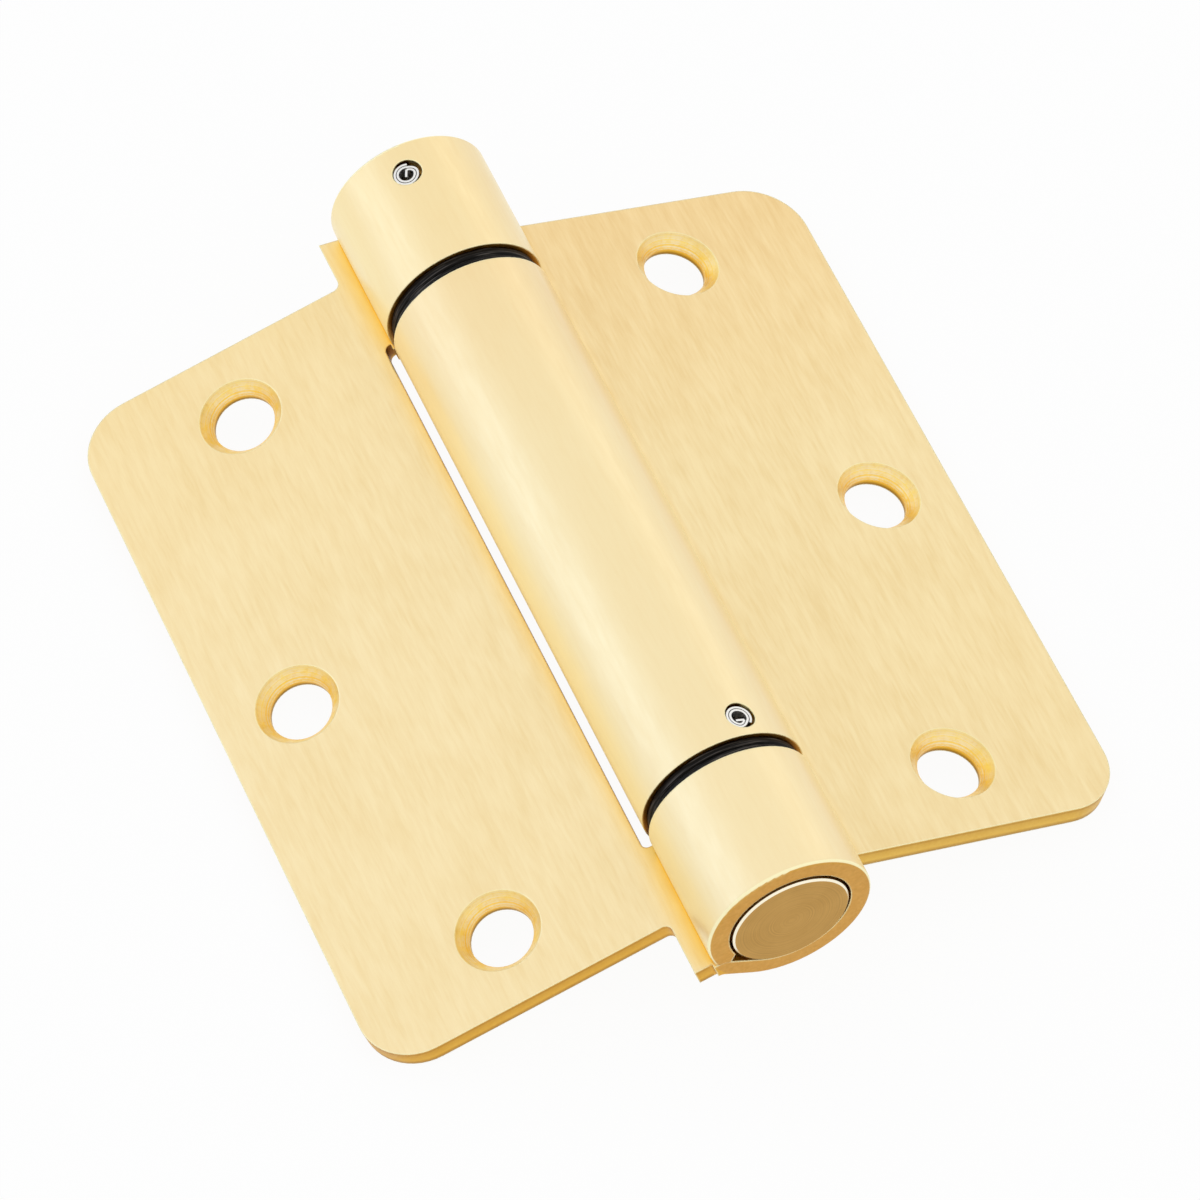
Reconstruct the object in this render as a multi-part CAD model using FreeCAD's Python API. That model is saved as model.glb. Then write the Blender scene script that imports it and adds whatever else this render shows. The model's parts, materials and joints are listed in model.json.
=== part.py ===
import FreeCAD
import Part
import math
import os

# Spring loaded door hinge, 3 1/2 in leaves, lying as a tent on the outer edges of its two leaves.
# X runs from the frame leaf (-X) to the door leaf (+X), Y along the barrel, Z up.
# The origin is on the floor under the middle of the barrel. Lengths are in millimetres.
# Stations along the barrel are written from the middle of the leaves and shifted at the end.

V = FreeCAD.Vector
os.makedirs("parts", exist_ok=True)

# Leaves: stamped sheet, countersunk face up
leaf_height = 88.9
leaf_width = 44.45
sheet = 2.29
corner_radius = 6.35
leaf_tilt = 15.5
leaf_drop = 1.75
inner_flat = 0.84
inner_corner = 0.8
tongue_flat = 2.0
notch_radius = 0.85
upper_tongue_proud = 0.5
lower_tongue_short = 0.5

# Barrel: the curled knuckles
barrel_radius = 9.07
root_turn = 46.8
bend_radius = 0.8
seam_gap = 0.03
seam_angle = 11.0
end_round = 0.4
lower_overhang = 7.05
lower_knuckle_inset = 8.15
lower_gap = 1.8
upper_gap = 2.05
upper_knuckle_inset = 10.4
upper_overhang = 5.75
slot_lower_setback = 0.9
slot_upper_setback = 0.75

# Screw holes, three in each leaf
screw_radius = 3.45
countersink_radius = 4.65
countersink_angle = 78.0
end_screw_inset = 17.2
middle_screw_inset = 8.97
end_screw_margin = 8.73

# Bearings: flanged liner bushes and thrust washers
running_clearance = 0.05
seat_clearance = 0.05
liner_seat = 0.03
liner_wall = 0.24
flange_inset = 0.55
ring_gap = 0.1
lower_flange = 0.9
upper_flange = 1.0
rim_break = 0.15
lower_liner_length = 13.2
upper_liner_length = 7.0

# Plugs: the turned bars that carry the spring
plug_chamfer = 0.2
anchor_proud = 0.3
anchor_head_length = 8.5
tension_sink = 0.3
tension_journal_length = 10.05
socket_across_flats = 6.35
socket_depth = 8.0
adjusting_holes = 6
slot_depth = 4.0

# Coiled spring pins, tight in the plugs and pushed to one side of the larger holes in the knuckles
pin_radius = 1.389
pin_sheet = 0.24
pin_turn_gap = 0.09
pin_turns = 2
pin_step_share = 0.2
pin_tail = 0.95
pin_hole_clearance = 0.03
pin_touch = 0.02
pin_recess = 0.15
pin_core = 0.5
knuckle_hole_radius = 1.625
pin_push_angle = 215.0
upper_pin_inset = 4.1
upper_pin_angle = 100.0
upper_pin_roll = 65.0
upper_tail_skew = 0.0
lower_pin_inset = 2.4
lower_pin_angle = 71.5
lower_pin_roll = -44.0
lower_tail_skew = 40.0

# Torsion spring
wire_radius = 1.25
wire_clearance = 0.1
turn_gap = 0.12
bend_swell = 0.01
leg_length = 3.4
leg_angle = 20.0

# Worked out from the above
tilt = math.radians(leaf_tilt)
turn = math.radians(root_turn)
half_height = leaf_height / 2
lower_end = -half_height - lower_overhang
lower_knuckle_top = -half_height + lower_knuckle_inset
middle_knuckle_bottom = lower_knuckle_top + lower_gap
upper_knuckle_bottom = half_height - upper_knuckle_inset
middle_knuckle_top = upper_knuckle_bottom - upper_gap
upper_end = half_height + upper_overhang
slot_lower_end = lower_knuckle_top + slot_lower_setback
slot_upper_end = upper_knuckle_bottom + slot_upper_setback
upper_tongue_end = upper_end + upper_tongue_proud
lower_tongue_end = lower_end + lower_tongue_short
upper_pin_along = upper_end - upper_pin_inset
lower_pin_along = middle_knuckle_bottom + lower_pin_inset
bore_radius = barrel_radius - sheet
axis_height = leaf_width * math.sin(tilt) + (leaf_drop + sheet) * math.cos(tilt)
anchor_end = lower_end - anchor_proud
shift = -(max(upper_end, upper_tongue_end) + min(anchor_end, lower_tongue_end)) / 2
bend_out = (barrel_radius + bend_radius - (leaf_drop + sheet + bend_radius) * math.sin(turn)) / math.cos(turn)
bend_down = -(leaf_drop + sheet + bend_radius)
inner_edge = bend_out + inner_flat
tongue_edge = bend_out + tongue_flat
end_screw_out = leaf_width - end_screw_inset
middle_screw_out = leaf_width - middle_screw_inset
end_screw_along = half_height - end_screw_margin
head_radius = bore_radius - seat_clearance
liner_radius = bore_radius - liner_seat
liner_bore = liner_radius - liner_wall
journal_radius = liner_bore - running_clearance
flange_radius = barrel_radius - flange_inset
pin_hole = pin_radius + pin_hole_clearance
slot_lip = flange_radius + ring_gap
pin_outer_end = barrel_radius - pin_recess
pin_inner_end = socket_across_flats / math.sqrt(3) + pin_core
coil_radius = journal_radius - running_clearance - wire_radius
anchor_top = middle_knuckle_bottom + anchor_head_length
tension_bottom = upper_knuckle_bottom - tension_journal_length
spring_low = anchor_top + wire_clearance + wire_radius
spring_high = tension_bottom - wire_clearance - wire_radius
spring_turns = int((spring_high - spring_low) / (2 * wire_radius + turn_gap))


def leaf_point(side, out, along, up):
    """A point given out from the barrel's axis in the leaf's plane, along the barrel and up from the leaf."""
    x = side * (out * math.cos(tilt) + up * math.sin(tilt))
    z = -out * math.sin(tilt) + up * math.cos(tilt)
    return V(x, along, z)


def barrel_point(radius, angle, along):
    """A point round the barrel's axis, with the angle in degrees from +X towards +Z."""
    a = math.radians(angle)
    return V(radius * math.cos(a), along, radius * math.sin(a))


def line(a, b):
    return Part.LineSegment(a, b).toShape()


def arc(a, middle, b):
    return Part.Arc(a, middle, b).toShape()


def turned(profile):
    """A turned piece: a list of (radius, station along the barrel) spun about the barrel's axis."""
    points = [V(r, y, 0) for r, y in profile]
    face = Part.Face(Part.makePolygon(points + points[:1]))
    return face.revolve(V(0, 0, 0), V(0, 1, 0), 360)


def round_bar(radius, start, end, at=V(0, 0, 0)):
    """A cylinder that runs from one point to another."""
    way = end - start
    return Part.makeCylinder(radius, way.Length, at + start, way)


def curl(side, start, end):
    """One knuckle: the sheet bends down at its root, goes under the barrel, round it and back to the leaf."""
    def ring(radius, angle):
        a = math.radians(angle)
        return leaf_point(side, radius * math.cos(a), start, radius * math.sin(a))

    def bend(radius, angle):
        a = math.radians(angle)
        out = bend_out + radius * math.cos(a)
        return leaf_point(side, out, start, bend_down + radius * math.sin(a))

    def bend_angle(radius, angle):
        a = math.radians(angle)
        return math.degrees(math.atan2(radius * math.sin(a) - bend_down, radius * math.cos(a) - bend_out))

    outer = bend_radius
    inner = bend_radius + sheet
    bend_end = 180 - root_turn
    bend_middle = (bend_end + 90) / 2
    # The sheet's free end lies on the root bend, and leaves a small wedge open at its inner corner
    rest = inner + seam_gap
    far = math.hypot(bend_out, bend_down)
    share = (barrel_radius ** 2 - rest ** 2 + far ** 2) / (2 * far * barrel_radius)
    seam = math.degrees(math.atan2(bend_down, bend_out) + math.acos(share))
    seam_start = bend_angle(barrel_radius, seam)
    seam_stop = bend_angle(bore_radius, -seam_angle)
    outer_middle = (seam - root_turn + 360) / 2
    inner_middle = (-seam_angle - root_turn + 360) / 2
    edges = [
        arc(bend(outer, 90), bend(outer, bend_middle), bend(outer, bend_end)),
        line(bend(outer, bend_end), ring(barrel_radius, -root_turn)),
        arc(ring(barrel_radius, -root_turn), ring(barrel_radius, outer_middle), ring(barrel_radius, seam)),
        arc(ring(barrel_radius, seam), bend(rest, (seam_start + seam_stop) / 2), bend(rest, seam_stop)),
        line(bend(rest, seam_stop), ring(bore_radius, -seam_angle)),
        arc(ring(bore_radius, -seam_angle), ring(bore_radius, inner_middle), ring(bore_radius, -root_turn)),
        line(ring(bore_radius, -root_turn), bend(inner, bend_end)),
        arc(bend(inner, bend_end), bend(inner, bend_middle), bend(inner, 90)),
        line(bend(inner, 90), bend(outer, 90)),
    ]
    return Part.Face(Part.Wire(edges)).extrude(V(0, end - start, 0))


def plate(side, corners):
    """The flat of a leaf: (out, along, corner radius) all round, at the countersunk face, and the sheet below."""
    count = len(corners)
    ends = []
    edges = []
    for i, (out, along, radius) in enumerate(corners):
        here = V(out, along, 0)
        before = V(corners[i - 1][0], corners[i - 1][1], 0) - here
        after = V(corners[(i + 1) % count][0], corners[(i + 1) % count][1], 0) - here
        before.normalize()
        after.normalize()
        into = here + before * radius
        away = here + after * radius
        ends.append((into, away))
        if radius > 0:
            middle = here + (before + after) * (radius * (1 - math.sqrt(0.5)))
            edges.append((into, middle, away))
    pieces = []
    for into, middle, away in edges:
        a, m, b = [leaf_point(side, p.x, p.y, -leaf_drop) for p in (into, middle, away)]
        pieces.append(arc(a, m, b))
    for i in range(count):
        a = ends[i][1]
        b = ends[(i + 1) % count][0]
        if (a - b).Length > 1e-6:
            pieces.append(line(leaf_point(side, a.x, a.y, -leaf_drop), leaf_point(side, b.x, b.y, -leaf_drop)))
    wire = Part.Wire(Part.__sortEdges__(pieces))
    down = leaf_point(side, 0, 0, -sheet)
    return Part.Face(wire).extrude(down)


def screw_hole(side, out, along):
    """A through hole with its countersink on the leaf's upper face."""
    up = leaf_point(side, 0, 0, 1)
    slope = math.tan(math.radians(countersink_angle / 2))
    depth = (countersink_radius - screw_radius) / slope
    above = 0.5
    mouth = leaf_point(side, out, along, above - leaf_drop)
    hole = Part.makeCylinder(screw_radius, sheet + 2 * above, mouth, up * -1)
    cone = Part.makeCone(countersink_radius + above * slope, screw_radius, depth + above, mouth, up * -1)
    return hole.fuse(cone)


def pin_bore(along, angle):
    """The hole in a plug that a coiled pin is driven into."""
    return round_bar(pin_hole, barrel_point(pin_inner_end, angle, along), barrel_point(barrel_radius + 1, angle, along))


def knuckle_hole(along, angle):
    """The wider hole in a knuckle. The spring pushes the pin against one side of it."""
    play = knuckle_hole_radius - pin_radius - pin_touch
    push = math.radians(pin_push_angle)
    a = math.radians(angle)
    right = V(math.sin(a), 0, -math.cos(a))
    offset = right * (-play * math.cos(push)) + V(0, -play * math.sin(push), 0)
    start = barrel_point(bore_radius - 1, angle, along)
    end = barrel_point(barrel_radius + 1, angle, along)
    return round_bar(knuckle_hole_radius, start, end, offset)


def finish_leaf(side, solid):
    """Punch the three screw holes and merge what lies in one plane."""
    for out, along in ((end_screw_out, end_screw_along), (middle_screw_out, 0), (end_screw_out, -end_screw_along)):
        solid = solid.cut(screw_hole(side, out, along))
    return solid.removeSplitter()


def round_end(solid, along):
    """Round the barrel's outer rim at one end of a leaf."""
    rim = []
    for edge in solid.Edges:
        box = edge.BoundBox
        flat = abs(box.YMin - along) < 1e-4 and abs(box.YMax - along) < 1e-4
        if flat and isinstance(edge.Curve, Part.Circle) and abs(edge.Curve.Radius - barrel_radius) < 1e-4:
            rim.append(edge)
    return solid.makeFillet(end_round, rim)


def frame_leaf():
    """The leaf screwed to the door frame, with the two end knuckles and a tongue beside each."""
    inner = min(inner_corner, (inner_edge - bend_out) * 0.9)
    outline = [
        (bend_out, lower_tongue_end, 0),
        (tongue_edge, lower_tongue_end, 0),
        (tongue_edge, -half_height, notch_radius),
        (leaf_width, -half_height, corner_radius),
        (leaf_width, half_height, corner_radius),
        (tongue_edge, half_height, notch_radius),
        (tongue_edge, upper_tongue_end, 0),
        (bend_out, upper_end, 0),
        (bend_out, slot_upper_end, 0),
        (inner_edge, slot_upper_end, inner),
        (inner_edge, slot_lower_end, inner),
        (slot_lip, slot_lower_end, 0),
        (slot_lip, lower_knuckle_top, 0),
        (bend_out, lower_knuckle_top, 0),
    ]
    solid = plate(-1, outline)
    solid = solid.fuse([curl(-1, lower_end, lower_knuckle_top), curl(-1, upper_knuckle_bottom, upper_end)])
    solid = finish_leaf(-1, solid)
    solid = round_end(solid, lower_end)
    solid = round_end(solid, upper_end)
    return solid.cut(knuckle_hole(upper_pin_along, upper_pin_angle))


def door_leaf():
    """The leaf screwed to the door, with the long middle knuckle."""
    inner = min(inner_corner, (inner_edge - bend_out) * 0.9)
    outline = [
        (bend_out, middle_knuckle_bottom, 0),
        (inner_edge, middle_knuckle_bottom, inner),
        (inner_edge, -half_height, 0),
        (leaf_width, -half_height, corner_radius),
        (leaf_width, half_height, corner_radius),
        (inner_edge, half_height, 0),
        (inner_edge, middle_knuckle_top, inner),
        (bend_out, middle_knuckle_top, 0),
    ]
    solid = plate(1, outline).fuse(curl(1, middle_knuckle_bottom, middle_knuckle_top))
    return finish_leaf(1, solid).cut(knuckle_hole(lower_pin_along, lower_pin_angle))


def flanged_bush(face, flange, liner_length):
    """A black liner that lines a knuckle from its end face, with a flange that stands out by its thickness."""
    way = 1 if flange > 0 else -1
    top = face + flange
    profile = [
        (liner_bore, face - way * liner_length),
        (liner_radius, face - way * liner_length),
        (liner_radius, face),
        (flange_radius - rim_break, face),
        (flange_radius, face + way * rim_break),
        (flange_radius, top - way * rim_break),
        (flange_radius - rim_break, top),
        (liner_bore, top),
    ]
    return turned(profile)


def thrust_washer(bottom, top):
    profile = [
        (liner_bore, bottom),
        (flange_radius - rim_break, bottom),
        (flange_radius, bottom + rim_break),
        (flange_radius, top - rim_break),
        (flange_radius - rim_break, top),
        (liner_bore, top),
    ]
    return turned(profile)


def leg_slot(end, way):
    """The slot across a plug's rim that holds one leg of the spring."""
    width = 2 * (wire_radius + wire_clearance)
    inner = coil_radius - width / 2
    outer = head_radius + 1
    box = Part.makeBox(outer - inner, slot_depth + 1, width, V(inner, 0, -width / 2))
    box.translate(V(0, -1 if way > 0 else -slot_depth, 0))
    box.rotate(V(0, 0, 0), V(0, 1, 0), -leg_angle)
    box.translate(V(0, end, 0))
    return box


def tension_plug():
    """The winding plug: a hex socket on top, a ring of pin holes in its head and a journal below it."""
    top = upper_end - tension_sink
    profile = [
        (0, tension_bottom),
        (journal_radius - plug_chamfer, tension_bottom),
        (journal_radius, tension_bottom + plug_chamfer),
        (journal_radius, upper_knuckle_bottom),
        (head_radius, upper_knuckle_bottom),
        (head_radius, top - plug_chamfer),
        (head_radius - plug_chamfer, top),
        (0, top),
    ]
    plug = turned(profile)
    corners = [barrel_point(socket_across_flats / math.sqrt(3), 60 * i, top + 1) for i in range(7)]
    plug = plug.cut(Part.Face(Part.makePolygon(corners)).extrude(V(0, -socket_depth - 1, 0)))
    for i in range(adjusting_holes):
        plug = plug.cut(pin_bore(upper_pin_along, upper_pin_angle + 360 / adjusting_holes * i))
    return plug.cut(leg_slot(tension_bottom, 1))


def anchor_plug():
    """The plug pinned in the middle knuckle, which shows as a bright rimmed disc at the barrel's lower end."""
    profile = [
        (0, anchor_end),
        (journal_radius - plug_chamfer, anchor_end),
        (journal_radius, anchor_end + plug_chamfer),
        (journal_radius, middle_knuckle_bottom),
        (head_radius, middle_knuckle_bottom),
        (head_radius, anchor_top - plug_chamfer),
        (head_radius - plug_chamfer, anchor_top),
        (0, anchor_top),
    ]
    plug = turned(profile)
    plug = plug.cut(pin_bore(lower_pin_along, lower_pin_angle))
    return plug.cut(leg_slot(anchor_top, -1))


def torsion_spring():
    """Round wire wound in a close coil, with a leg at each end that stands along the barrel in a plug's slot."""
    length = spring_high - spring_low
    helix = Part.makeHelix(length / spring_turns, length, coil_radius)
    section = Part.Wire(Part.makeCircle(wire_radius, V(coil_radius, 0, 0), V(0, 1, 0)))
    coil = Part.Wire(helix.Edges).makePipeShell([section], True, True)
    for along, way in ((0, -1), (length, 1)):
        corner = V(coil_radius, 0, along)
        leg = Part.makeCylinder(wire_radius, leg_length + wire_radius + wire_clearance, corner, V(0, 0, way))
        coil = coil.fuse([Part.makeSphere(wire_radius + bend_swell, corner), leg])
    coil.rotate(V(0, 0, 0), V(1, 0, 0), -90)
    coil.rotate(V(0, 0, 0), V(0, 1, 0), -leg_angle)
    coil.translate(V(0, spring_low, 0))
    return coil


def coiled_pin(along, angle, roll, skew):
    """A spring pin rolled up from thin strip. Each turn is round, and steps in to the next over its last part.

    The strip's inner end is left straight. The pin is driven in from outside.
    """
    steps = 25
    pitch = pin_sheet + pin_turn_gap

    def spiral(start):
        points = []
        for i in range(pin_turns * steps + 1):
            turned_by = i / steps
            part = max(0, turned_by % 1 - 1 + pin_step_share) / pin_step_share
            r = start - pitch * (int(turned_by) + part * part * (3 - 2 * part))
            a = 2 * math.pi * turned_by
            points.append(V(r * math.cos(a), r * math.sin(a), 0))
        curve = Part.BSplineCurve()
        curve.interpolate(points)
        return curve.toShape(), points[0], points[-1]

    outer, outer_start, outer_stop = spiral(pin_radius)
    inner, inner_start, inner_stop = spiral(pin_radius - pin_sheet)
    wire = Part.Wire(Part.__sortEdges__([outer, line(outer_stop, inner_stop), inner, line(inner_start, outer_start)]))
    length = pin_outer_end - pin_inner_end
    pin = Part.Face(wire).extrude(V(0, 0, length))
    tail = Part.makeBox(pin_tail, pin_sheet, length, V(-pin_tail, -pin_sheet / 2, 0))
    tail.rotate(V(0, 0, 0), V(0, 0, 1), skew)
    tail.translate(V((inner_stop.Length + outer_stop.Length) / 2, 0, 0))
    tail.rotate(V(0, 0, 0), V(0, 0, 1), 360 * pin_turns)
    pin = pin.fuse(tail)
    pin.rotate(V(0, 0, 0), V(0, 0, 1), roll - 360 * pin_turns)
    pin.translate(V(0, 0, pin_inner_end))
    pin.rotate(V(0, 0, 0), V(0, 1, 0), 90 - angle)
    pin.translate(V(0, along, 0))
    return pin


pieces = {
    "frame_leaf": frame_leaf(),
    "door_leaf": door_leaf(),
    "tension_plug": tension_plug(),
    "anchor_plug": anchor_plug(),
    "torsion_spring": torsion_spring(),
    "upper_bearing_bush": flanged_bush(middle_knuckle_top, upper_flange, upper_liner_length),
    "upper_thrust_washer": thrust_washer(
        middle_knuckle_top + upper_flange + running_clearance, upper_knuckle_bottom
    ),
    "lower_bearing_bush": flanged_bush(lower_knuckle_top, lower_flange, lower_liner_length),
    "lower_thrust_washer": thrust_washer(
        lower_knuckle_top + lower_flange + running_clearance, middle_knuckle_bottom
    ),
    "upper_coiled_pin": coiled_pin(upper_pin_along, upper_pin_angle, upper_pin_roll, upper_tail_skew),
    "lower_coiled_pin": coiled_pin(lower_pin_along, lower_pin_angle, lower_pin_roll, lower_tail_skew),
}

for name, shape in pieces.items():
    placed = shape.copy()
    placed.translate(V(0, shift, axis_height))
    solids = len(placed.Solids)
    print(name, "solids", solids, "valid", placed.isValid(), "volume", round(placed.Volume, 2))
    placed.exportStep("parts/" + name + ".step")
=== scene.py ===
import json
import math

import bpy
from mathutils import Euler, Matrix, Vector

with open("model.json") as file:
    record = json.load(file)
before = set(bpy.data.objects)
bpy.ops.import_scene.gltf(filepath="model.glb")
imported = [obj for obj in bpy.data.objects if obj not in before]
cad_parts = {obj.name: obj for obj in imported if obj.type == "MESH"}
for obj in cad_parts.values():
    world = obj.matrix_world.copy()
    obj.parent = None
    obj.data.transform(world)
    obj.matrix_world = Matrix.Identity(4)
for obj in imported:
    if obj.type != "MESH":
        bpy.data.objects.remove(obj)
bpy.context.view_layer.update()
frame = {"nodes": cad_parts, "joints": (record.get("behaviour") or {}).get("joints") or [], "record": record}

# The two leaves. Each is one sheet, blanked, curled into knuckles, countersunk, then brushed along the
# barrel and plated a pale satin brass. The sheared edges and the drilled holes keep a deeper colour, the
# sheared edges darkened further as painted shade. The barrel is painted paler as painted light, the rims of
# the sheet carry a painted highlight, one wall of each countersink a painted highlight, and the creases
# painted reflection and painted shade.
door_screws = [
    mount for mount in frame["record"]["mounts"]
    if mount["kind"] == "bore" and mount["name"].startswith("door_leaf")
]
leaf_lean = math.atan2(door_screws[0]["axis"][0], door_screws[0]["axis"][2])
barrel_axis_height = frame["joints"][0]["pos_m"][2]
barrel_axis = (0.0, 0.0, barrel_axis_height)
barrel_radius = 0.00907
sheet_top = barrel_axis_height - 0.00175
sheet_thickness = 0.00229
flat_leaf_starts = 0.0096
countersink_radius = 0.00465
mouth_line_starts = countersink_radius - 0.00047
mouth_line_full = countersink_radius - 0.0001
crease_fades_from = 0.0145
crease_fades_out = 0.018
far_tone_from = 0.008
far_tone_full = 0.046
cutter_rings_per_metre = 7000.0
rim_width = 0.0003
brushed_groove = 0.00001
painted_paler_barrel_share = 0.8
lit_side_highlight_share = 0.4
mouth_line_share = 0.28
rim_painted_highlight_share = 0.9


def across_leaf(place):
    """A place on the door leaf: its distance from the barrel's axis in the leaf's plane, and its station."""
    rise = place[2] - barrel_axis_height
    return place[0] * math.cos(leaf_lean) - rise * math.sin(leaf_lean), place[1], 0.0


def feed(tree, node, inputs):
    """Sets a node's inputs, each to a constant or to the output socket that feeds it."""
    for name, value in inputs.items():
        socket = node.inputs[name]
        if isinstance(value, bpy.types.NodeSocket):
            tree.links.new(value, socket)
        elif socket.type == "RGBA":
            socket.default_value = (*value, 1.0)
        else:
            socket.default_value = value


def add(tree, kind, inputs=None, **settings):
    """Adds a shader node with its settings and its inputs."""
    node = tree.nodes.new("ShaderNode" + kind)
    for name, value in settings.items():
        setattr(node, name, value)
    feed(tree, node, inputs or {})
    return node


def maths(tree, operation, *terms, clamp=False):
    """A number worked out from constants and output sockets."""
    return add(tree, "Math", dict(enumerate(terms)), operation=operation, use_clamp=clamp).outputs[0]


def vector_maths(tree, operation, *terms):
    """The outputs of a sum on vectors: Vector, or Value where the result is a number."""
    return add(tree, "VectorMath", dict(enumerate(terms)), operation=operation).outputs


def remap(tree, value, low, high, to_low=0.0, to_high=1.0):
    """A number moved from one range into another, and held inside it."""
    ranges = {"Value": value, "From Min": low, "From Max": high, "To Min": to_low, "To Max": to_high}
    return add(tree, "MapRange", ranges).outputs["Result"]


def blend(tree, share, first, second, way="MIX"):
    """Two colours laid over each other, with none of the second at share 0."""
    inputs = {"Factor": share, "A": first, "B": second}
    return add(tree, "Mix", inputs, data_type="RGBA", blend_type=way).outputs["Result"]


def noise(tree, place, scale, detail=2.0, roughness=0.5):
    """Cloudy noise over a place on the piece."""
    inputs = {"Vector": place, "Scale": scale, "Detail": detail, "Roughness": roughness}
    return add(tree, "TexNoise", inputs).outputs["Fac"]


def line_noise(tree, distance):
    """Noise that changes along one line only, as the rings left by a turning tool do."""
    inputs = {"W": distance, "Scale": 1.0, "Detail": 2.0}
    return add(tree, "TexNoise", inputs, noise_dimensions="1D").outputs["Fac"]


def ramp(tree, value, stops):
    """A colour that follows a number, given as (number, colour) in rising order."""
    node = add(tree, "ValToRGB", {"Fac": value})
    elements = node.color_ramp.elements
    for count, (position, colour) in enumerate(stops):
        stop = elements[count] if count < 2 else elements.new(position)
        stop.position = position
        stop.color = (*colour, 1.0)
    return node.outputs["Color"]


def effect(name, inputs, outputs):
    """Starts an effect that materials share. Inputs are (name, kind, usual value), outputs (name, kind)."""
    tree = bpy.data.node_groups.new(name, "ShaderNodeTree")
    for socket_name, kind, usual in inputs:
        socket = tree.interface.new_socket(name=socket_name, in_out="INPUT", socket_type="NodeSocket" + kind)
        socket.default_value = (*usual, 1.0) if kind == "Color" else usual
    for socket_name, kind in outputs:
        tree.interface.new_socket(name=socket_name, in_out="OUTPUT", socket_type="NodeSocket" + kind)
    return tree, tree.nodes.new("NodeGroupInput").outputs


def finish_effect(tree, results):
    """Ends an effect with the socket that each of its outputs gives."""
    feed(tree, tree.nodes.new("NodeGroupOutput"), results)


def new_material(name, constants):
    """Starts a material, with what is the same all over it set on its shader."""
    material = bpy.data.materials.new(name)
    material.use_nodes = True
    shader = material.node_tree.nodes["Principled BSDF"]
    feed(material.node_tree, shader, constants)
    return material, material.node_tree, shader


def dress(node_names, material):
    """Gives nodes of the frame one material all over."""
    for name in node_names:
        slots = frame["nodes"][name].data.materials
        slots.clear()
        slots.append(material)


# Fine strokes of the brush along the barrel, with broader ones and worn clouds under them.
coarse_share = 0.38
cloud_share = 0.45

brushing, given = effect("brushed strokes", [
    ("Position", "Vector", (0.0, 0.0, 0.0)),
    ("Stroke Width", "Float", 0.00021),
    ("Stroke Length", "Float", 0.0019),
    ("Base", "Color", (0.9, 0.75, 0.45)),
    ("Bare", "Color", (0.8, 0.6, 0.3)),
    ("Depth", "Float", 0.1),
], [("Color", "Color"), ("Strokes", "Float")])
across = maths(brushing, "DIVIDE", 1.0, given["Stroke Width"])
along = maths(brushing, "DIVIDE", 1.0, given["Stroke Length"])
stretch = add(brushing, "CombineXYZ", {"X": across, "Y": along, "Z": across}).outputs["Vector"]
place = vector_maths(brushing, "MULTIPLY", given["Position"], stretch)["Vector"]
fine = noise(brushing, place, scale=0.5, detail=3.0, roughness=0.6)
coarse = maths(brushing, "MULTIPLY", noise(brushing, place, scale=0.14), coarse_share)
both = maths(brushing, "MULTIPLY_ADD", fine, 1.0 - coarse_share, coarse)
spread = remap(brushing, both, 0.36, 0.64)
cloud = remap(brushing, noise(brushing, given["Position"], scale=130.0), 0.3, 0.7, 0.0, cloud_share)
rub = maths(brushing, "ADD", spread, cloud)
amount = maths(brushing, "MULTIPLY", rub, given["Depth"], clamp=True)
finish_effect(brushing, {
    "Color": blend(brushing, amount, given["Base"], given["Bare"]),
    "Strokes": spread,
})

# Rims of the metal, found where a rounded normal leaves the real one. The rim mask places a painted
# highlight, and the rounded normal rounds the edge's shading.
rim_highlight_and_rounding, given = effect("rims with painted highlight, and rounding", [
    ("Reach", "Float", 0.0002),
], [("Rim", "Float"), ("Soft Normal", "Vector")])
rounded = add(rim_highlight_and_rounding, "Bevel", {"Radius": given["Reach"]}, samples=6).outputs["Normal"]
sharp = add(rim_highlight_and_rounding, "NewGeometry").outputs["Normal"]
facing = vector_maths(rim_highlight_and_rounding, "DOT_PRODUCT", rounded, sharp)["Value"]
finish_effect(rim_highlight_and_rounding, {"Rim": remap(rim_highlight_and_rounding, facing, 0.995, 0.86), "Soft Normal": rounded})

# Painted reflection: warmth painted where metal faces metal, for the light bounced between them; and
# painted shade: the dark line at the bottom of a crease.
creases, given = effect("painted shade and reflection in creases", [
    ("Color", "Color", (0.9, 0.75, 0.45)),
    ("Painted Reflection Color", "Color", (0.9, 0.6, 0.25)),
    ("Painted Shade Line Color", "Color", (0.68, 0.31, 0.008)),
    ("Reach", "Float", 0.0036),
    ("Line Reach", "Float", 0.0004),
    ("Share", "Float", 1.0),
], [("Color", "Color"), ("Tucked", "Float"), ("Hidden", "Float")])
open_sky = add(creases, "AmbientOcclusion", {"Distance": given["Reach"]}, samples=8).outputs["AO"]
tucked = remap(creases, open_sky, 0.94, 0.5, 0.0, given["Share"])
warm = blend(creases, tucked, given["Color"], given["Painted Reflection Color"])
near_sky = add(creases, "AmbientOcclusion", {"Distance": given["Line Reach"]}, samples=8).outputs["AO"]
in_line = remap(creases, near_sky, 0.88, 0.58, 0.0, given["Share"])
finish_effect(creases, {
    "Color": blend(creases, in_line, warm, given["Painted Shade Line Color"]),
    "Tucked": tucked,
    "Hidden": remap(creases, open_sky, 0.6, 0.3, 0.0, given["Share"]),
})

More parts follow.
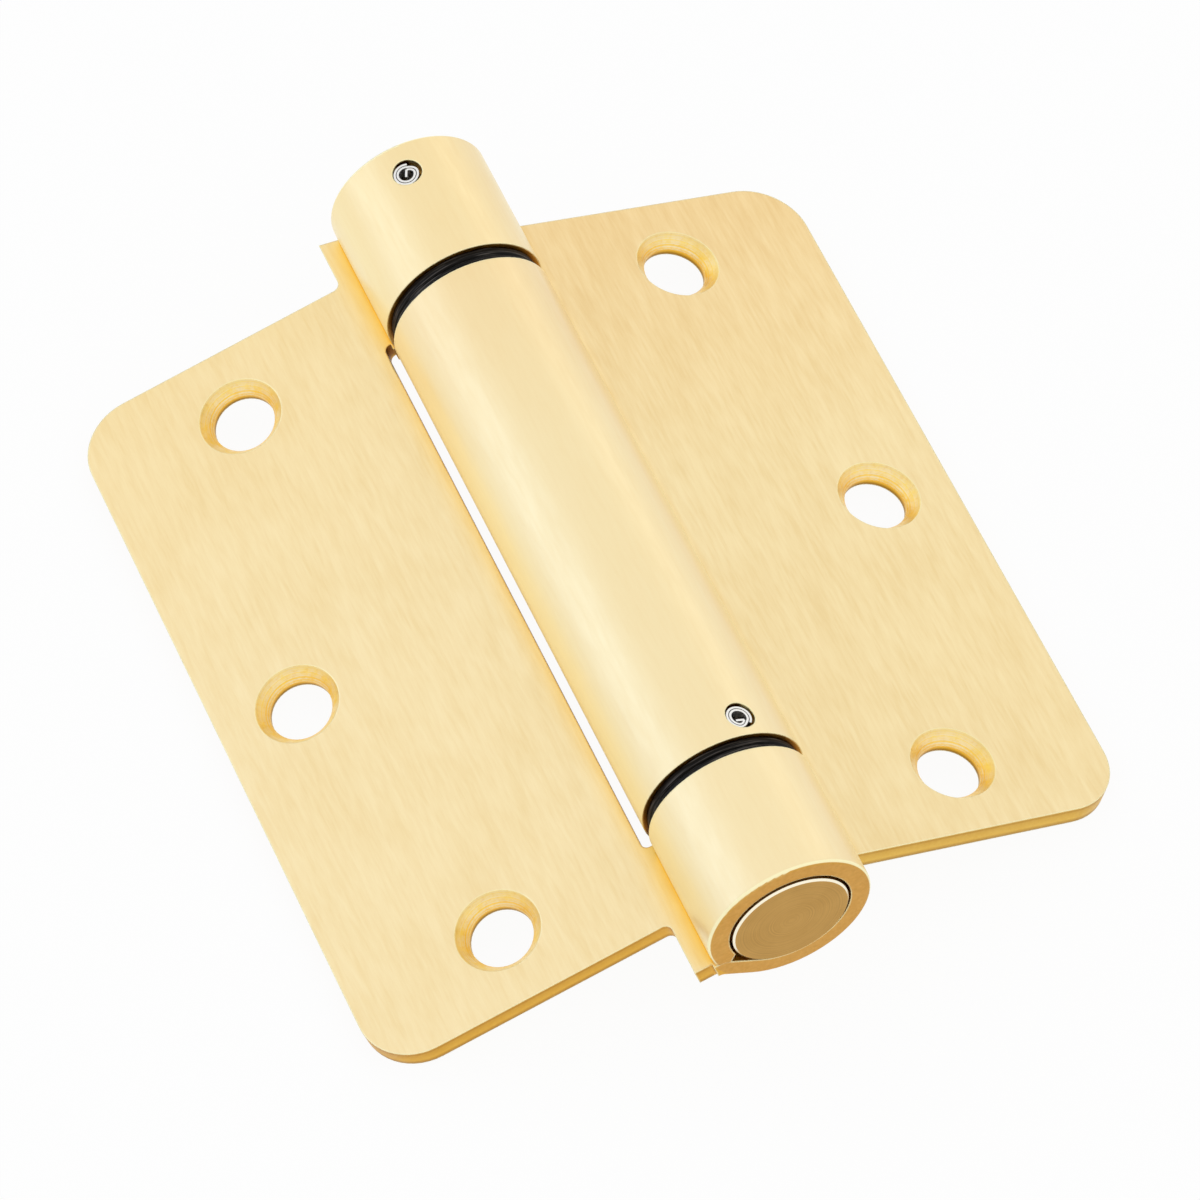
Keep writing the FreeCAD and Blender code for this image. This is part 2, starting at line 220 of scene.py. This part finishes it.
# Where the sheet was sheared, curled, ground and drilled. The place and the normal are first turned
# until the leaf lies level, and both leaves are then measured outwards from the barrel's axis.
cut_places, given = effect("sheared and drilled places", [
    ("Position", "Vector", (0.0, 0.0, 0.0)),
    ("Normal", "Vector", (0.0, 0.0, 0.0)),
    ("Lean", "Float", leaf_lean),
], [(mask, "Float") for mask in (
    "Sheared", "Ground End", "Drilled", "Punched Wall", "Tool Marks", "Barrel", "Flank", "Beside Barrel",
    "Far End", "Sheet Depth", "Leaf Edge", "Rounded Rim", "Painted Lit Side", "Countersink Mouth",
)])
turn_level = {"Vector": given["Position"], "Center": barrel_axis, "Angle": given["Lean"]}
level = add(cut_places, "VectorRotate", turn_level, rotation_type="Y_AXIS").outputs["Vector"]
turn_normal = {"Vector": given["Normal"], "Angle": given["Lean"]}
level_normal = add(cut_places, "VectorRotate", turn_normal, rotation_type="Y_AXIS").outputs["Vector"]
spot = add(cut_places, "SeparateXYZ", {"Vector": level}).outputs
way = add(cut_places, "SeparateXYZ", {"Vector": level_normal}).outputs
standing = add(cut_places, "SeparateXYZ", {"Vector": given["Normal"]}).outputs["Z"]
upright = maths(cut_places, "ABSOLUTE", way["Z"])
endways = maths(cut_places, "ABSOLUTE", way["Y"])
out = maths(cut_places, "ABSOLUTE", spot["X"])
crosswise = add(cut_places, "CombineXYZ", {"X": spot["X"], "Z": spot["Z"]}).outputs["Vector"]
from_axis = vector_maths(cut_places, "DISTANCE", crosswise, barrel_axis)["Value"]
near_barrel = maths(cut_places, "LESS_THAN", from_axis, barrel_radius + 0.0002)
on_leaf = maths(cut_places, "GREATER_THAN", out, flat_leaf_starts)

flat_spot = add(cut_places, "CombineXYZ", {"X": out, "Y": spot["Y"]}).outputs["Vector"]
from_screws = [
    vector_maths(cut_places, "DISTANCE", flat_spot, across_leaf(screw["pos_m"]))["Value"]
    for screw in door_screws
]
nearest = from_screws[0]
for from_screw in from_screws[1:]:
    nearest = maths(cut_places, "MINIMUM", nearest, from_screw)
in_hole = maths(cut_places, "LESS_THAN", nearest, countersink_radius + 0.0001)
steep = remap(cut_places, upright, 0.9, 0.75)
drilled = maths(cut_places, "MULTIPLY", in_hole, steep)

end_face = remap(cut_places, endways, 0.8, 0.93)
edge_on = maths(cut_places, "MULTIPLY", on_leaf, steep)
any_cut = maths(cut_places, "MAXIMUM", edge_on, end_face)
sheared = maths(cut_places, "SUBTRACT", any_cut, drilled, clamp=True)
rounding = remap(cut_places, endways, 0.12, 0.4)
rounded_rim = maths(cut_places, "SUBTRACT", rounding, end_face, clamp=True)
ring_depth = maths(cut_places, "MULTIPLY", spot["Z"], cutter_rings_per_metre)
finish_effect(cut_places, {
    "Sheared": sheared,
    "Ground End": maths(cut_places, "MULTIPLY", end_face, near_barrel),
    "Drilled": drilled,
    "Punched Wall": maths(cut_places, "MULTIPLY", in_hole, remap(cut_places, upright, 0.45, 0.2)),
    "Tool Marks": line_noise(cut_places, ring_depth),
    # Barrel and Flank mark where the leaf is painted paler, and brighter on the sides, as painted light.
    "Barrel": remap(cut_places, from_axis, barrel_radius + 0.0004, barrel_radius + 0.0001),
    "Flank": remap(cut_places, standing, 0.62, 0.3),
    "Beside Barrel": remap(cut_places, out, crease_fades_out, crease_fades_from),
    "Far End": remap(cut_places, spot["Y"], far_tone_from, far_tone_full),
    "Sheet Depth": remap(cut_places, spot["Z"], sheet_top, sheet_top - sheet_thickness),
    "Leaf Edge": maths(cut_places, "MULTIPLY", on_leaf, sheared),
    "Rounded Rim": maths(cut_places, "MULTIPLY", rounded_rim, near_barrel),
    # The countersink wall that faces the lower end, where the cutter's rings get a painted highlight.
    "Painted Lit Side": remap(cut_places, way["Y"], 0.1, -0.65),
    "Countersink Mouth": remap(cut_places, nearest, mouth_line_starts, mouth_line_full),
})


def sheared_colour(tree, cuts, torn, tone):
    """The edge of the sheet: grainy, in bands from the rolled upper lip to the dark lower one."""
    torn_tone = (tone[0] * 1.1, tone[1] * 1.2, tone[2] * 1.5)
    bands = ramp(tree, cuts["Sheet Depth"], (
        (0.0, (1.0, 1.0, 1.0)),
        (0.13, (0.72, 0.62, 0.42)),
        (0.26, (0.92, 0.9, 0.85)),
        (0.68, (1.05, 1.08, 1.15)),
        (0.97, (0.58, 0.48, 0.4)),
    ))
    return blend(tree, cuts["Leaf Edge"], blend(tree, torn, tone, torn_tone), bands, "MULTIPLY")


def countersink_colour(tree, place, cuts, torn, tone):
    """A countersink: deeper towards the hole, with the cutter's rings and chatter, the wall that faces the
    lower end paler as a painted highlight, and its mouth outlined.
    """
    cutter_ring_and_highlight = (0.97, 0.8, 0.47)
    mouth_line = (0.72, 0.48, 0.17)
    flecks = (0.97, 0.91, 0.82)
    funnel = ramp(tree, cuts["Sheet Depth"], (
        (0.03, (1.0, 0.8, 0.29)),
        (0.3, tone),
        (0.64, (1.0, 0.62, 0.06)),
    ))
    jumps = noise(tree, place, scale=900.0, detail=3.0, roughness=0.7)
    chatter = remap(tree, jumps, 0.35, 0.62, 0.0, 0.75)
    # The rings show paler on chatter and, as a painted highlight, on the wall that faces the lower end.
    chatter_and_lit_side = maths(tree, "MULTIPLY_ADD", cuts["Painted Lit Side"], lit_side_highlight_share, chatter)
    tool_lines = remap(tree, cuts["Tool Marks"], 0.38, 0.58, 0.2, 1.2)
    ring_share = maths(tree, "MULTIPLY", chatter_and_lit_side, tool_lines, clamp=True)
    colour = blend(tree, ring_share, funnel, cutter_ring_and_highlight)
    mouth_share = maths(tree, "MULTIPLY", cuts["Countersink Mouth"], mouth_line_share)
    colour = blend(tree, mouth_share, colour, mouth_line)
    return blend(tree, remap(tree, torn, 0.52, 0.7), colour, flecks, "MULTIPLY")


def leaf_colour(tree, place, strokes, cuts, far_tone, sheared_tone, drilled_tone):
    """The whole leaf but its rims and creases: brushed faces, a barrel painted paler as painted light and
    brighter still on its flanks, cut edges, ends and holes.
    """
    barrel_crown_painted_paler = (0.93, 0.775, 0.455)
    barrel_flank_painted_light = (1.0, 0.875, 0.52)
    ground_end = (0.56, 0.285, 0.036)
    ground_grain = (0.75, 0.4, 0.075)
    wall_top = (0.97, 0.55, 0.05)
    wall_bottom = (0.38, 0.18, 0.006)
    torn = noise(tree, place, scale=2600.0, detail=3.0)
    # Painted light: the barrel paler than the flat leaf, brighter still on its flanks.
    barrel_tone = blend(tree, cuts["Flank"], barrel_crown_painted_paler, barrel_flank_painted_light)
    barrel_share = maths(tree, "MULTIPLY", cuts["Barrel"], painted_paler_barrel_share)
    colour = blend(tree, barrel_share, strokes["Color"], barrel_tone)
    colour = blend(tree, cuts["Far End"], colour, far_tone, "MULTIPLY")
    # Sheared edges: the cut metal's own deeper colour, darkened further as painted shade.
    colour = blend(tree, cuts["Sheared"], colour, sheared_colour(tree, cuts, torn, sheared_tone))
    colour = blend(tree, cuts["Ground End"], colour, blend(tree, torn, ground_end, ground_grain))
    colour = blend(tree, cuts["Drilled"], colour, countersink_colour(tree, place, cuts, torn, drilled_tone))
    wall_tone = ramp(tree, cuts["Sheet Depth"], ((0.7, wall_top), (0.9, wall_bottom)))
    return blend(tree, cuts["Punched Wall"], colour, wall_tone)


def painted_rims_and_creases(tree, colour, cuts, rims):
    """Painted highlights on the rims, painted amber reflection where a rim lies in a crease, painted
    reflection and shade in the creases, and painted shade on the places shut in between the pieces.
    """
    painted_reflection_on_face = (1.0, 0.61, 0.06)
    painted_reflection_on_edge = (0.78, 0.41, 0.05)
    painted_shade_shut_in = (0.12, 0.035, 0.006)
    painted_rim_highlight = (1.0, 0.94, 0.58)
    painted_rim_reflection = (0.62, 0.3, 0.008)
    # Painted reflection warms the creases, and painted shade darkens the sheared places shut in between the
    # pieces.
    painted_crease_reflection = blend(tree, cuts["Sheared"], painted_reflection_on_face, painted_reflection_on_edge)
    inputs = {"Color": colour, "Painted Reflection Color": painted_crease_reflection, "Share": cuts["Beside Barrel"]}
    creased = add(tree, "Group", inputs, node_tree=creases).outputs
    shut_in_shade = maths(tree, "MULTIPLY", creased["Hidden"], cuts["Sheared"])
    darkened = blend(tree, shut_in_shade, creased["Color"], painted_shade_shut_in)
    off_barrel = maths(tree, "SUBTRACT", creased["Tucked"], cuts["Barrel"], clamp=True)
    # Painted highlight on the rims, turning to a painted amber reflection where a rim lies in a crease off
    # the barrel.
    rim_tone = blend(tree, off_barrel, painted_rim_highlight, painted_rim_reflection)
    any_rim = maths(tree, "MAXIMUM", rims["Rim"], cuts["Rounded Rim"])
    return blend(tree, maths(tree, "MULTIPLY", any_rim, rim_painted_highlight_share), darkened, rim_tone)


def satin_brass(leaf_name, lean, base, bare, far_tone, sheared_tone, drilled_tone):
    """The material of one leaf."""
    satin, tree, shader = new_material("satin brass " + leaf_name, {"Metallic": 1.0, "Coat Roughness": 0.3})
    where = add(tree, "TexCoord").outputs
    stroke_inputs = {"Position": where["Object"], "Base": base, "Bare": bare, "Depth": 0.5}
    strokes = add(tree, "Group", stroke_inputs, node_tree=brushing).outputs
    cut_inputs = {"Position": where["Object"], "Normal": where["Normal"], "Lean": lean}
    cuts = add(tree, "Group", cut_inputs, node_tree=cut_places).outputs
    rims = add(tree, "Group", {"Reach": rim_width}, node_tree=rim_highlight_and_rounding).outputs
    colour = leaf_colour(tree, where["Object"], strokes, cuts, far_tone, sheared_tone, drilled_tone)
    unlacquered = maths(tree, "ADD", cuts["Sheared"], cuts["Drilled"], clamp=True)
    marks = {"Factor": cuts["Drilled"], "A": strokes["Strokes"], "B": cuts["Tool Marks"]}
    relief = add(tree, "Mix", marks, data_type="FLOAT").outputs["Result"]
    bump = {"Strength": 0.25, "Distance": brushed_groove, "Height": relief, "Normal": rims["Soft Normal"]}
    feed(tree, shader, {
        "Base Color": painted_rims_and_creases(tree, colour, cuts, rims),
        "Coat Weight": remap(tree, unlacquered, 0.0, 1.0, 0.6, 0.12),
        "Roughness": remap(tree, strokes["Strokes"], 0.0, 1.0, 0.36, 0.5),
        "Normal": add(tree, "Bump", bump).outputs["Normal"],
    })
    return satin


dress(["frame_leaf"], satin_brass(
    "frame_leaf",
    lean=leaf_lean,
    base=(0.95, 0.785, 0.455),
    bare=(0.87, 0.67, 0.325),
    far_tone=(0.99, 0.96, 0.89),
    sheared_tone=(0.72, 0.375, 0.028),
    drilled_tone=(1.0, 0.72, 0.115),
))
# The door leaf is the same brass as the frame leaf; its faces are given darker tones as painted shade.
dress(["door_leaf"], satin_brass(
    "door_leaf",
    lean=-leaf_lean,
    base=(0.895, 0.735, 0.412),
    bare=(0.825, 0.63, 0.297),
    far_tone=(0.98, 0.9, 0.8),
    sheared_tone=(0.74, 0.43, 0.055),
    drilled_tone=(1.0, 0.73, 0.14),
))

# The bearings. Two flanged liners and two thrust washers, moulded in black nylon, keep the knuckles
# apart and carry the door. Their rims show as black rings in the two gaps, with a grey sheen painted on in
# streaks.
nylon_black = (0.0015, 0.0011, 0.0008)
nylon_painted_sheen = (0.11, 0.1, 0.09)
mould_line_depth = 0.00002

moulded, tree, shader = new_material("black moulded nylon", {"Metallic": 0.0, "Specular IOR Level": 0.14})
place = add(tree, "TexCoord").outputs["Object"]
flow = add(tree, "Mapping", {"Vector": place, "Scale": (260.0, 6400.0, 260.0)}).outputs["Vector"]
lines = noise(tree, flow, scale=1.0, detail=3.0)
specks = noise(tree, place, scale=3200.0)
grain = add(tree, "Bump", {"Strength": 0.3, "Distance": mould_line_depth, "Height": lines})
feed(tree, shader, {
    # Painted sheen: grey streaks along the lines on the black nylon.
    "Base Color": ramp(tree, lines, ((0.5, nylon_black), (0.74, nylon_painted_sheen))),
    "Roughness": remap(tree, specks, 0.0, 1.0, 0.32, 0.6),
    "Normal": grain.outputs["Normal"],
})
dress(["upper_bearing_bush", "upper_thrust_washer", "lower_bearing_bush", "lower_thrust_washer"], moulded)

# The plugs. Two bars turned from steel and plated with the rest. One is pinned in the middle knuckle and
# closes the lower end with a dull disc inside a chamfer that carries a painted highlight, the other holds
# the hex socket.
chamfer_facing = math.cos(math.radians(45.0))
turned_groove = 0.00001
dull_dark = (0.56, 0.31, 0.063)
dull_light = (0.69, 0.4, 0.1)
chamfer_painted_highlight = (0.99, 0.92, 0.72)

turned_face, given = effect("turned face", [
    ("Position", "Vector", (0.0, 0.0, 0.0)),
    ("Normal", "Vector", (0.0, 0.0, 0.0)),
    ("Pitch", "Float", 0.00016),
], [("Rings", "Float"), ("Chamfer", "Float")])
off_axis = vector_maths(turned_face, "SUBTRACT", given["Position"], barrel_axis)["Vector"]
square_on = vector_maths(turned_face, "MULTIPLY", off_axis, (1.0, 0.0, 1.0))["Vector"]
radius = vector_maths(turned_face, "LENGTH", square_on)["Value"]
turns = maths(turned_face, "DIVIDE", radius, given["Pitch"])
facing_parts = add(turned_face, "SeparateXYZ", {"Vector": given["Normal"]}).outputs
end_on = maths(turned_face, "ABSOLUTE", facing_parts["Y"])
off_slope = maths(turned_face, "ABSOLUTE", maths(turned_face, "SUBTRACT", end_on, chamfer_facing))
finish_effect(turned_face, {
    "Rings": line_noise(turned_face, turns),
    "Chamfer": remap(turned_face, off_slope, 0.2, 0.05),
})

turned, tree, shader = new_material("turned and plated bar", {"Metallic": 1.0})
where = add(tree, "TexCoord").outputs
face_inputs = {"Position": where["Object"], "Normal": where["Normal"]}
lathe = add(tree, "Group", face_inputs, node_tree=turned_face).outputs
stain = noise(tree, where["Object"], scale=420.0, detail=4.0)
scored = blend(tree, 0.3, blend(tree, stain, dull_dark, dull_light), lathe["Rings"], "MULTIPLY")
score = add(tree, "Bump", {"Strength": 0.3, "Distance": turned_groove, "Height": lathe["Rings"]})
feed(tree, shader, {
    # The chamfer gets a painted highlight.
    "Base Color": blend(tree, lathe["Chamfer"], scored, chamfer_painted_highlight),
    "Roughness": remap(tree, lathe["Chamfer"], 0.0, 1.0, 0.42, 0.22),
    "Normal": score.outputs["Normal"],
})
dress(["anchor_plug", "tension_plug"], turned)

# The torsion spring. It is wound from hard drawn steel wire with a thin dark scale, and lies hidden in
# the middle knuckle with a leg in each plug.
dark_scale = (0.16, 0.155, 0.15)
bare_wire = (0.46, 0.46, 0.47)

drawn, tree, shader = new_material("drawn spring wire", {"Metallic": 1.0})
scale_spots = noise(tree, add(tree, "TexCoord").outputs["Object"], scale=700.0, detail=4.0)
feed(tree, shader, {
    "Base Color": ramp(tree, scale_spots, ((0.35, dark_scale), (0.7, bare_wire))),
    "Roughness": remap(tree, scale_spots, 0.0, 1.0, 0.28, 0.5),
})
dress(["torsion_spring"], drawn)

# The coiled pins. Each is rolled from bright steel strip and left bare, driven through a knuckle into
# the plug behind it. The end shows as a white spiral round a dark hole.
strip_edge = 0.00005
strip_grey = (0.72, 0.71, 0.68)
strip_white = (0.95, 0.94, 0.91)

strip, tree, shader = new_material("rolled bright strip", {"Metallic": 1.0})
grit = noise(tree, add(tree, "TexCoord").outputs["Object"], scale=5200.0, detail=3.0)
burr = add(tree, "Group", {"Reach": strip_edge}, node_tree=rim_highlight_and_rounding)
feed(tree, shader, {
    "Base Color": blend(tree, grit, strip_grey, strip_white),
    "Roughness": remap(tree, grit, 0.0, 1.0, 0.25, 0.45),
    "Normal": burr.outputs["Soft Normal"],
})
dress(["upper_coiled_pin", "lower_coiled_pin"], strip)

# The table the hinge lies on. White card, seen as plain white, with only a trace of the hinge's shadow.
table_size = 6.0
white_to_eye = 0.93
white_in_metal = 0.92

bpy.ops.mesh.primitive_plane_add(size=table_size, location=(0.0, 0.0, 0.0))
table = bpy.context.object
table.name = "table"
card_look = {"Base Color": (0.9, 0.9, 0.9), "Roughness": 0.9, "Specular IOR Level": 0.1}
card, tree, shader = new_material("white card", card_look)
glow = add(tree, "Emission", {"Color": (1.0, 1.0, 1.0)}).outputs["Emission"]
rays = add(tree, "LightPath").outputs
seen = maths(tree, "MULTIPLY", rays["Is Camera Ray"], white_to_eye)
white_share = maths(tree, "MULTIPLY_ADD", rays["Is Glossy Ray"], white_in_metal, seen)
lit_card = add(tree, "MixShader", {"Fac": white_share, 1: shader.outputs["BSDF"], 2: glow})
feed(tree, tree.nodes["Material Output"], {"Surface": lit_card.outputs["Shader"]})
table.data.materials.append(card)

# The light. A white room that metal reflects as plain white, with a broad window low at the back left
# and a fainter one at the right, which lay the two soft bands along the barrel.
room = bpy.data.worlds.new("white room")
bpy.context.scene.world = room
room.use_nodes = True
tree = room.node_tree
lit = tree.nodes["Background"]
feed(tree, lit, {"Color": (1.0, 0.995, 0.985), "Strength": 0.9})
white = add(tree, "Background", {"Color": (1.0, 1.0, 1.0), "Strength": 1.0})
rays = add(tree, "LightPath").outputs
seen = maths(tree, "MAXIMUM", rays["Is Camera Ray"], rays["Is Glossy Ray"])
seen_white = maths(tree, "MAXIMUM", seen, rays["Is Transmission Ray"])
backgrounds = {"Fac": seen_white, 1: lit.outputs["Background"], 2: white.outputs["Background"]}
feed(tree, tree.nodes["World Output"], {"Surface": add(tree, "MixShader", backgrounds).outputs["Shader"]})


def window(name, direction, distance, width, height, watts, tone):
    """A broad lamp, level across, that faces the hinge from a direction."""
    lamp = bpy.data.lights.new(name, "AREA")
    lamp.shape = "RECTANGLE"
    lamp.size = width
    lamp.size_y = height
    lamp.energy = watts
    lamp.color = tone
    holder = bpy.data.objects.new(name, lamp)
    bpy.context.scene.collection.objects.link(holder)
    toward = Vector(direction).normalized()
    turn = toward.to_track_quat("Z", "Y").to_matrix().to_4x4()
    holder.matrix_world = Matrix.Translation(toward * distance) @ turn


window(
    "window at the back left", (-0.8, 0.56, 0.26), distance=0.9,
    width=1.3, height=0.86, watts=1.7, tone=(0.3, 0.52, 1.0),
)
window(
    "window at the right", (0.74, 0.54, 0.4), distance=0.9,
    width=0.5, height=0.3, watts=0.1, tone=(1.0, 1.0, 1.0),
)

# The camera. It looks down the barrel from the lower end, from a little to the left, with a long lens.
eye_place = (-0.172773, -0.414619, 0.6545358)
eye_tilt = math.radians(34.6644197)
eye_roll = math.radians(0.4278958)
eye_heading = math.radians(-23.3382879)

eye = bpy.data.cameras.new("camera")
eye.sensor_width = 36.0
eye.sensor_fit = "HORIZONTAL"
eye.lens = 222.807
eye.clip_start = 0.05
eye.clip_end = 20.0
viewer = bpy.data.objects.new("camera", eye)
bpy.context.scene.collection.objects.link(viewer)
eye_turn = Euler((eye_tilt, eye_roll, eye_heading)).to_matrix().to_4x4()
viewer.matrix_world = Matrix.Translation(eye_place) @ eye_turn
bpy.context.scene.camera = viewer
bpy.context.scene.view_settings.view_transform = "Standard"
